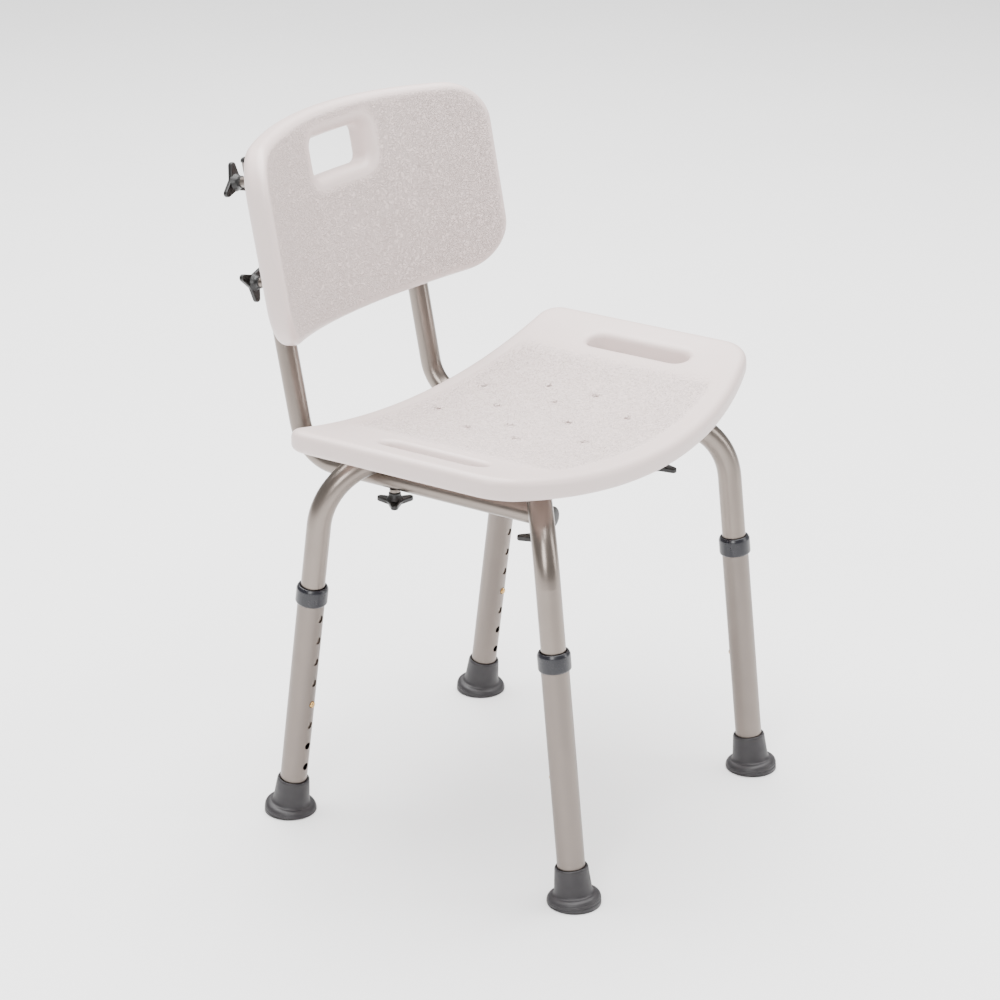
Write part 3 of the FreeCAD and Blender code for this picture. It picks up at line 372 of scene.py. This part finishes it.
def seat_bend(flat):
    """Dished from side to side, with its walls upright."""
    x, y, depth = flat.T
    z = SEAT_MID_Z + SEAT_RADIUS - np.sqrt((SEAT_RADIUS - depth) ** 2 - x**2)
    return np.column_stack([x, y, z])


def back_bend(flat):
    """Curved around the user, and leaning back."""
    x, up, depth = flat.T
    out = np.sqrt((BACK_RADIUS - depth) ** 2 - x**2) - BACK_RADIUS
    y = BACK_MID_Y + out * math.cos(BACK_TILT) + up * math.sin(BACK_TILT)
    z = BACK_MID_Z - out * math.sin(BACK_TILT) + up * math.cos(BACK_TILT)
    return np.column_stack([x, y, z])


def drain_centres():
    """Drain holes: two inner columns of three, two outer pairs and two on the centre line."""
    centres = []
    for side in (-1, 1):
        for row in (-1, 0, 1):
            centres.append((DRAIN_INNER_X * side, DRAIN_MID_Y + DRAIN_PITCH * row))
        for row in (-1, 1):
            centres.append((DRAIN_OUTER_X * side, DRAIN_MID_Y + DRAIN_OUTER_Y * row))
    centres += [(0, DRAIN_MID_Y - DRAIN_PITCH / 2), (0, DRAIN_MID_Y + DRAIN_PITCH / 2)]
    return centres


def corner(leg):
    """Where a leg's axis meets the height of the leg frames' top runs, in metres."""
    axis = LEG_AXES[leg]
    return SOLES[leg] + axis * (CROSS_Z * MM / axis.z)


def make_seat(material):
    """The dished seat, with its hand slots, drain holes and channels for the leg frames."""
    half = SEAT_HALF_WIDTH
    corners = [(half, SEAT_BACK), (-half, SEAT_BACK), (-half, SEAT_CORNER), (half, SEAT_CORNER)]
    rim = outline(corners, SEAT_CORNER_RADII, [None, None, SEAT_FRONT, None], RIM_SPACING)
    holes = []
    for side in (-1, 1):
        slot = slot_outline(SLOT_X * side, SLOT_Y, SLOT_WIDTH, SLOT_LENGTH, HOLE_SPACING)
        holes.append((slot, SLOT_ROUND))
    for x, y in drain_centres():
        holes.append((circle_outline(x, y, DRAIN_RADIUS), DRAIN_ROUND))

    def textured(places):
        edge = smooth_step(nearest(places, rim[0]), *SEAT_GRAIN_EDGE)
        side = 1 - smooth_step(np.abs(places[:, 0]), *SEAT_GRAIN_SIDE)
        return edge * side

    def recess(places):
        return -SEAT_RECESS * textured(places)

    edge = (rim, SEAT_ROUND)
    seat = moulded_panel("seat_shell", SEAT_THICKNESS, edge, holes, seat_bend, recess, textured)
    for first, last in (("rear_left", "front_right"), ("front_left", "rear_right")):
        start, end = corner(first), corner(last)
        run = end - start
        length = run.length / MM
        profile = [(0, 0), (CHANNEL_RADIUS, 0), (CHANNEL_RADIUS, length), (0, length)]
        cutter = lathe("channel", profile, standing(start, run.normalized()), 64)
        cut_away(seat, cutter)
    places = np.array([vertex.co for vertex in seat.data.vertices]) / MM
    depth = SEAT_RADIUS - np.hypot(places[:, 0], SEAT_MID_Z + SEAT_RADIUS - places[:, 2])
    mark_grain(seat, textured(places[:, :2]) * (depth > SEAT_THICKNESS / 2 - GRAIN_DEPTH))
    finish_piece(seat, "frame", "seat_panel", material)


def cut_away(piece, cutter):
    """Take a cutter's shape out of a piece, and remove the cutter."""
    modifier = piece.modifiers.new("cut", "BOOLEAN")
    modifier.object = cutter
    modifier.operation = "DIFFERENCE"
    modifier.solver = "EXACT"
    bpy.context.view_layer.update()
    evaluated = piece.evaluated_get(bpy.context.evaluated_depsgraph_get())
    mesh = bpy.data.meshes.new_from_object(evaluated)
    piece.modifiers.clear()
    piece.data = mesh
    bpy.data.objects.remove(cutter)


def make_backrest(material):
    """The curved backrest, with its hand hole."""
    half = BACK_HALF_WIDTH
    corners = [(half, BACK_HIGH), (-half, BACK_HIGH), (-half, BACK_LOW), (half, BACK_LOW)]
    bows = [BACK_HIGH + BACK_CROWN, None, BACK_LOW - BACK_BELLY, None]
    rim = outline(corners, BACK_CORNER_RADII, bows, RIM_SPACING)
    wide, low, high = HAND_HOLE_HALF, HAND_HOLE_LOW, HAND_HOLE_HIGH
    square = [(wide, high), (-wide, high), (-wide, low), (wide, low)]
    hand = outline(square, [HAND_HOLE_CORNER] * 4, [None] * 4, HOLE_SPACING)

    def textured(places):
        edge = smooth_step(nearest(places, rim[0]), *BACK_GRAIN_EDGE)
        return edge * smooth_step(nearest(places, hand[0]), *BACK_GRAIN_HOLE)

    def level(places):
        return np.zeros(len(places))

    edge, hole = (rim, BACK_ROUND), (hand, HAND_HOLE_ROUND)
    back = moulded_panel("backrest_shell", BACK_THICKNESS, edge, [hole], back_bend, level, textured)
    finish_piece(back, "frame", "backrest_panel", material)


# ---- turned pieces ------------------------------------------------------------------------------------

# Each shape is a list of (radius, height) points in millimetres, which soften rounds off.


def make_feet(material):
    """Flared rubber feet with a grooved flange, open at the top and flat on the floor."""
    shape = [(0, -6), (27.2, -6), (27.8, 1.6), (27.1, 2.2), (27.8, 2.8), (27.8, 5), (27.1, 5.5), (27.5, 6.2)]
    shape += [(26.2, 8.6), (23.6, 10.2), (20.9, 10.6), (19.6, 12.6), (19.2, 17), (17.3, 38), (16.6, 39.8)]
    shape += [(15.4, 40), (14.35, 39), (14.35, 13), (0, 13)]
    for leg in LEGS:
        foot = lathe(f"rubber_{leg}", soften(shape, 1.6), standing(SOLES[leg], LEG_AXES[leg]), 96)
        for vertex in foot.data.vertices:
            vertex.co.z = max(vertex.co.z, 0)
        finish_piece(foot, f"leg_{leg}", f"foot_{leg}", material)


def make_collars(material):
    """Black collars with a lip over the ends of the lower leg tubes."""
    low, high = COLLAR_LOW, COLLAR_HIGH
    shape = [(14.35, low), (15.6, low), (16.8, low + 1.6), (16.8, high - 3.2), (15.2, high), (13.6, high)]
    shape += [(12.9, high - 0.8), (12.9, COLLAR_STOP), (14.35, COLLAR_STOP), (14.35, low)]
    rounded = soften(shape, 1.1)
    rounded[-1] = rounded[0]
    for leg in LEGS:
        collar = lathe(f"sleeve_{leg}", rounded, standing(SOLES[leg], LEG_AXES[leg]), 80)
        finish_piece(collar, f"leg_{leg}", f"leg_collar_{leg}", material)


def make_buttons(material):
    """Domed brass buttons with a flange inside the tube."""
    shape = [(0, 9.1), (4.6, 9.1), (4.6, 10.1), (3.6, 10.1), (3.6, 14.6), (3.2, 15.9), (2, 16.7), (0, 17)]
    for leg in LEGS:
        at = SOLES[leg] + LEG_AXES[leg] * (BUTTON_HEIGHT * MM)
        button = lathe(f"pin_{leg}", soften(shape, 0.8), standing(at, -BUTTON_AXES[leg]), 40)
        finish_piece(button, f"button_{leg}", f"leg_button_{leg}", material)


def make_caps(material):
    """Plugs with domed heads in both ends of each back tube."""
    shape = [(0, -9), (9, -9), (9.7, -7), (9.7, 0.06), (11.6, 0.06)]
    shape += [(11.6, 2.2), (10.4, 4), (6, 4.9), (0, 5.2)]
    rounded = soften(shape, 1.5)
    lean = Vector((0, math.sin(BACK_TILT), math.cos(BACK_TILT)))
    for side in ("left", "right"):
        low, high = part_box(f"front_cap_{side}")
        point = Vector(((low.x + high.x) / 2, low.y + CAP_HEAD * MM, (low.z + high.z) / 2))
        cap = lathe(f"plug_{side}", rounded, standing(point, Vector((0, -1, 0))), 64)
        finish_piece(cap, "frame", f"front_cap_{side}", material)
        low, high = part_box(f"top_cap_{side}")
        middle = (low + high) / 2
        cap = lathe(f"crown_{side}", rounded, standing(middle + lean * (CAP_MIDDLE * MM), lean), 64)
        finish_piece(cap, "frame", f"top_cap_{side}", material)


# ---- materials ----------------------------------------------------------------------------------------

# The panel tones, then the painted shade laid into the hollows of the grain.
PANEL_DARK, PANEL_LIGHT, PANEL_PIT_SHADE = (0.60, 0.495, 0.47, 1), (0.645, 0.54, 0.515, 1), (0.47, 0.385, 0.36, 1)


class Nodes:
    """Short words for building a material's node tree."""

    def __init__(self, name):
        self.material = bpy.data.materials.new(name)
        self.material.use_nodes = True
        self.tree = self.material.node_tree
        self.shader = self.tree.nodes["Principled BSDF"]
        coords = self.tree.nodes.new("ShaderNodeTexCoord")
        self.place = coords.outputs["Object"]

    def add(self, kind, inputs=None, **settings):
        node = self.tree.nodes.new(kind)
        for key, value in settings.items():
            setattr(node, key, value)
        for key, value in (inputs or {}).items():
            if isinstance(value, bpy.types.NodeSocket):
                self.tree.links.new(value, node.inputs[key])
            else:
                node.inputs[key].default_value = value
        return node

    def noise(self, scale, detail=3, rough=0.5, distortion=0.0):
        inputs = {"Vector": self.place, "Scale": scale, "Detail": detail, "Roughness": rough}
        inputs["Distortion"] = distortion
        return self.add("ShaderNodeTexNoise", inputs).outputs["Fac"]

    def stretch(self, value, low, high, new_low, new_high):
        inputs = {"Value": value, "From Min": low, "From Max": high, "To Min": new_low, "To Max": new_high}
        return self.add("ShaderNodeMapRange", inputs).outputs["Result"]

    def maths(self, a, b, operation="ADD"):
        return self.add("ShaderNodeMath", {0: a, 1: b}, operation=operation).outputs[0]

    def mix(self, factor, a, b):
        node = self.add("ShaderNodeMix", data_type="RGBA")
        for key, value in (("Factor", factor), ("A", a), ("B", b)):
            socket = next(s for s in node.inputs if s.name == key and s.enabled)
            if isinstance(value, bpy.types.NodeSocket):
                self.tree.links.new(value, socket)
            else:
                socket.default_value = value
        return next(s for s in node.outputs if s.enabled)

    def bump(self, height, strength, distance, normal=None):
        inputs = {"Height": height, "Strength": strength, "Distance": distance}
        if normal is not None:
            inputs["Normal"] = normal
        return self.add("ShaderNodeBump", inputs).outputs["Normal"]

    def connect(self, **sockets):
        for key, value in sockets.items():
            name = key.replace("_", " ")
            if isinstance(value, bpy.types.NodeSocket):
                self.tree.links.new(value, self.shader.inputs[name])
            else:
                self.shader.inputs[name].default_value = value
        return self.material


def panel_material(name, wrinkles):
    """Moulded off-white plastic: pebbled or wrinkled where the grain attribute says, smooth elsewhere, with
    painted shade darkening the hollows of the grain.
    """
    n = Nodes(name)
    grain = n.add("ShaderNodeAttribute", attribute_name="grain").outputs["Fac"]
    tint = n.mix(n.noise(9, 2), PANEL_DARK, PANEL_LIGHT)
    if wrinkles:
        worm = n.noise(250, 1.5, 0.4, 1.4)
        ridge = n.maths(n.maths(worm, 0.5, "SUBTRACT"), 0.0, "ABSOLUTE")
        height = n.stretch(ridge, 0.0, 0.12, 0.0, 1.0)
        depth, distance = 0.85, 0.0013
    else:
        cells = n.add("ShaderNodeTexVoronoi", {"Vector": n.place, "Scale": 420.0}, feature="SMOOTH_F1")
        soft = n.noise(260, 2, 0.5, 0.6)
        height = n.maths(n.stretch(cells.outputs["Distance"], 0.1, 0.7, 1.0, 0.0), soft)
        depth, distance = 1.0, 0.0022
    pits = n.stretch(height, 0.0, 0.5, 0.0, 1.0)
    # Painted shade: where the grain's bump is low the colour is pulled toward the dark pit colour, and 40% of that
    # darkening is kept.
    darker = n.mix(n.maths(n.maths(1.0, pits, "SUBTRACT"), grain, "MULTIPLY"), tint, PANEL_PIT_SHADE)
    tint_with_pit_shade = n.mix(0.4, tint, darker)
    raised = n.maths(height, grain, "MULTIPLY")
    skin = n.bump(n.noise(1500, 2), 0.06, 0.0002)
    rough = n.stretch(grain, 0.0, 1.0, 0.36, 0.5)
    return n.connect(Base_Color=tint_with_pit_shade, Roughness=rough, Normal=n.bump(raised, depth, distance, skin),
                     Specular_IOR_Level=0.45)


def shade(tone, factor):
    """A darker or lighter tone, as a colour with its alpha."""
    return tuple(c * factor for c in tone) + (1,)


def tube_material(name, tone, base_rough):
    """Satin anodised aluminium with a faint mottling."""
    n = Nodes(name)
    mottle = n.noise(14, 4, 0.6)
    tint = n.mix(mottle, shade(tone, 0.96), shade(tone, 1.04))
    grain = n.noise(900, 2, 0.5)
    rough = n.stretch(n.noise(60, 3), 0.3, 0.7, base_rough - 0.02, base_rough + 0.03)
    return n.connect(Base_Color=tint, Metallic=1.0, Roughness=rough, Normal=n.bump(grain, 0.008, 0.0001))


def plastic_material(name, tone, rough, grain_scale, grain_depth):
    """Black plastic or rubber with a fine grain."""
    n = Nodes(name)
    tint = n.mix(n.noise(40, 3), shade(tone, 0.8), shade(tone, 1.25))
    gloss = n.stretch(n.noise(90, 3), 0.3, 0.7, rough - 0.05, rough + 0.06)
    normal = n.bump(n.noise(grain_scale, 2), grain_depth, 0.0003)
    return n.connect(Base_Color=tint, Roughness=gloss, Normal=normal)


def metal_material(name, tone, rough):
    """Plain brass or steel, a little uneven in tone and gloss."""
    n = Nodes(name)
    tint = n.mix(n.noise(120, 3), shade(tone, 0.85), shade(tone, 1))
    gloss = n.stretch(n.noise(300, 3), 0.3, 0.7, rough - 0.04, rough + 0.06)
    return n.connect(Base_Color=tint, Metallic=1.0, Roughness=gloss)


# ---- the chair ----------------------------------------------------------------------------------------

SEAT_PLASTIC = panel_material("seat_plastic", wrinkles=False)
BACK_PLASTIC = panel_material("back_plastic", wrinkles=True)
FRAME_METAL = tube_material("frame_metal", (0.215, 0.184, 0.162), 0.30)
LEG_METAL = tube_material("leg_metal", (0.195, 0.168, 0.150), 0.38)
COLLAR = plastic_material("collar_plastic", (0.006, 0.006, 0.010), 0.3, 500, 0.03)
RUBBER = plastic_material("foot_rubber", (0.014, 0.012, 0.014), 0.5, 900, 0.12)
KNOB = plastic_material("knob_plastic", (0.005, 0.0045, 0.0045), 0.4, 900, 0.1)
BRASS = metal_material("brass", (0.55, 0.34, 0.13), 0.22)
STEEL = metal_material("steel", (0.22, 0.19, 0.17), 0.35)

# The material of each CAD node that shows, by the start of its name. The first match counts.
NODE_MATERIALS = {
    "leg_frame": FRAME_METAL,
    "back_tube": FRAME_METAL,
    "leg_tube": LEG_METAL,
    "seat_knob_washers": STEEL,
    "back_knob_washers": STEEL,
    "seat_knob": KNOB,
    "back_knob": KNOB,
    "seat_stud": STEEL,
    "back_stud": STEEL,
    "button_spring": STEEL,
    "cross_rivet": STEEL,
    "seat_inserts": BRASS,
    "backrest_inserts": BRASS,
}

for node, thing in frame["nodes"].items():
    for start, material in NODE_MATERIALS.items():
        if node.startswith(start):
            thing.data.materials.clear()
            thing.data.materials.append(material)
            break

make_seat(SEAT_PLASTIC)
make_backrest(BACK_PLASTIC)
make_feet(RUBBER)
make_collars(COLLAR)
make_buttons(BRASS)
make_caps(KNOB)


# ---- floor, light and camera --------------------------------------------------------------------------


def make_floor():
    """A plain pale floor, just under the soles."""
    size, z = 6.0, -0.0004
    verts = [(-size, -size, z), (size, -size, z), (size, size, z), (-size, size, z)]
    floor = mesh_object("floor", verts, [[0, 1, 2, 3]])
    n = Nodes("floor_paint")
    tint = n.mix(n.noise(3, 2), (0.86, 0.86, 0.86, 1), (0.9, 0.9, 0.9, 1))
    floor.data.materials.append(n.connect(Base_Color=tint, Roughness=0.6))


def area_light(name, place, target, size, power):
    """A soft rectangular light that faces a target."""
    light = bpy.data.lights.new(name, "AREA")
    light.shape = "RECTANGLE"
    light.size, light.size_y = size
    light.energy = power
    holder = bpy.data.objects.new(name, light)
    bpy.context.scene.collection.objects.link(holder)
    holder.location = place
    holder.rotation_euler = (Vector(target) - Vector(place)).to_track_quat("-Z", "Y").to_euler()


def make_lights():
    """A wide light overhead for the floor, and two narrower ones that put streaks on the tubes."""
    world = bpy.data.worlds.new("studio")
    bpy.context.scene.world = world
    world.use_nodes = True
    world.node_tree.nodes["Background"].inputs["Color"].default_value = (1, 0.99, 0.98, 1)
    world.node_tree.nodes["Background"].inputs["Strength"].default_value = 0.6
    area_light("overhead", (0.6, 0.6, 3.4), (0.6, 0.6, 0), (4.5, 4.5), 620)
    area_light("key", (-2.4, -0.9, 1.7), (0, 0, 0.4), (0.9, 1.6), 55)
    area_light("fill", (1.5, -2.6, 1.2), (0, 0, 0.4), (0.8, 1.8), 30)


def make_camera():
    """The photo's viewing angle and lens. Distances are in metres."""
    azimuth, elevation = math.radians(-56.16), math.radians(21.8)
    distance, sideways, lift = 3.112, -0.0261, -0.0591
    aim = Vector((0, -0.041, 0.4))
    flat = math.cos(elevation)
    away = Vector((math.sin(azimuth) * flat, -math.cos(azimuth) * flat, math.sin(elevation)))
    right = Vector((math.cos(azimuth), math.sin(azimuth), 0))
    up = away.cross(right)
    lens = bpy.data.cameras.new("photo_view")
    lens.sensor_width = 36
    lens.lens = 107.8
    camera = bpy.data.objects.new("photo_view", lens)
    bpy.context.scene.collection.objects.link(camera)
    camera.location = aim + away * distance + right * sideways + up * lift
    camera.rotation_euler = Matrix((right, up, away)).transposed().to_euler()
    bpy.context.scene.camera = camera


make_floor()
make_lights()
make_camera()
